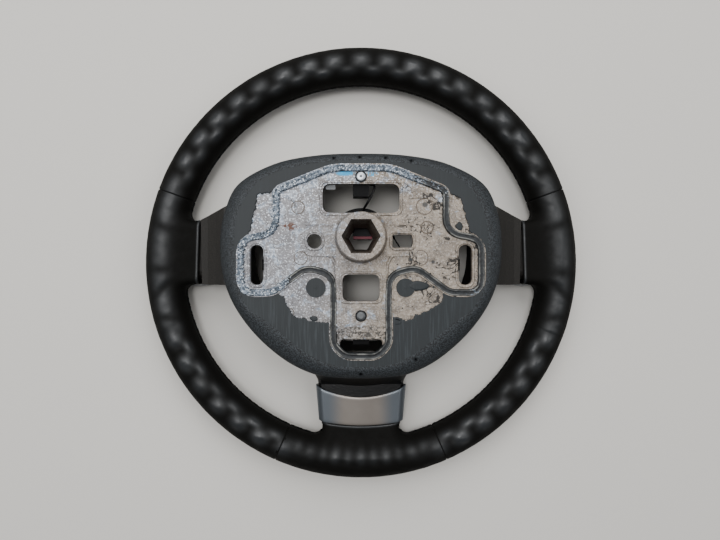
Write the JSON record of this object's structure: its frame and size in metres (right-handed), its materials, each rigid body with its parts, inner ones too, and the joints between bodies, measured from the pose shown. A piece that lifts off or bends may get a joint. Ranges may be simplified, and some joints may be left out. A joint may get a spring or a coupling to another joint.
{
  "type": "steering wheel",
  "caption": "Leather-wrapped car steering wheel without its airbag: scalloped grip, cast hub with tapered hexagonal socket, slotted plate, sprung horn contacts and airbag catches.",
  "frame": {"origin": "centre of the hub's rear face, at the mouth of the tapered hexagonal socket", "axes": "+Z along the shaft axis toward the steering column, +Y toward 12 o'clock, +X to the right as seen from behind"},
  "size_m": [0.375, 0.375, 0.08],
  "materials": {
    "cast_metal": "as cast, dull, with frosted patches",
    "hub_foam": "moulded foam skin, smooth in the middle, grained at the edge",
    "spoke_foam": "moulded foam skin, fine grain",
    "leather": "satin, fine grain",
    "silver_trim": "satin silver",
    "black_plastic": "moulded",
    "bright_steel": "bright",
    "pale_plastic": "moulded",
    "blue_plastic": "moulded",
    "maroon_plastic": "moulded",
    "lead_jacket": "smooth"
  },
  "bodies": {
    "wheel": {"armature": "cast_metal", "hub_overmould": "hub_foam", "rim_foam": "spoke_foam", "leather_top": "leather", "leather_left": "leather", "leather_right": "leather", "leather_bottom": "leather", "spoke_trim_bottom": "silver_trim", "spoke_trim_left": "silver_trim", "spoke_trim_right": "silver_trim", "contact_housing_top": "black_plastic", "contact_housing_bottom": "black_plastic", "contact_rivet_top": "bright_steel", "contact_rivet_bottom": "bright_steel", "contact_spring_top": "bright_steel", "contact_spring_bottom": "bright_steel", "contact_tab": "bright_steel", "catch_guide_left": "black_plastic", "catch_guide_right": "black_plastic", "harness_ring": "black_plastic", "horn_lead": "lead_jacket", "link_lead": "lead_jacket"},
    "contact_plunger_top": {"contact_plunger_top": "pale_plastic"},
    "contact_plunger_bottom": {"contact_plunger_bottom": "pale_plastic"},
    "catch_left": {"catch_left": "black_plastic"},
    "catch_right": {"catch_right": "black_plastic"},
    "connector": {"harness_connector": "blue_plastic", "connector_lock": "maroon_plastic"}
  },
  "joints": [
    {"name": "horn_contact_top", "type": "slide", "parent": "wheel", "child": "contact_plunger_top", "axis": [0, 0, 1], "range_m": [0, 0.0025], "stiffness_N_per_m": 600, "deforming": ["contact_spring_top"]},
    {"name": "horn_contact_bottom", "type": "slide", "parent": "wheel", "child": "contact_plunger_bottom", "axis": [0, 0, 1], "range_m": [0, 0.0025], "stiffness_N_per_m": 600, "deforming": ["contact_spring_bottom"]},
    {"name": "catch_slide_left", "type": "slide", "parent": "wheel", "child": "catch_left", "axis": [1, 0, 0], "range_m": [0, 0.004], "stiffness_N_per_m": 500},
    {"name": "catch_slide_right", "type": "slide", "parent": "wheel", "child": "catch_right", "axis": [-1, 0, 0], "range_m": [0, 0.004], "stiffness_N_per_m": 500},
    {"name": "connector_aside", "type": "slide", "parent": "wheel", "child": "connector", "axis": [-1, 0, 0], "range_m": [0, 0.023], "stiffness_N_per_m": 30}
  ]
}
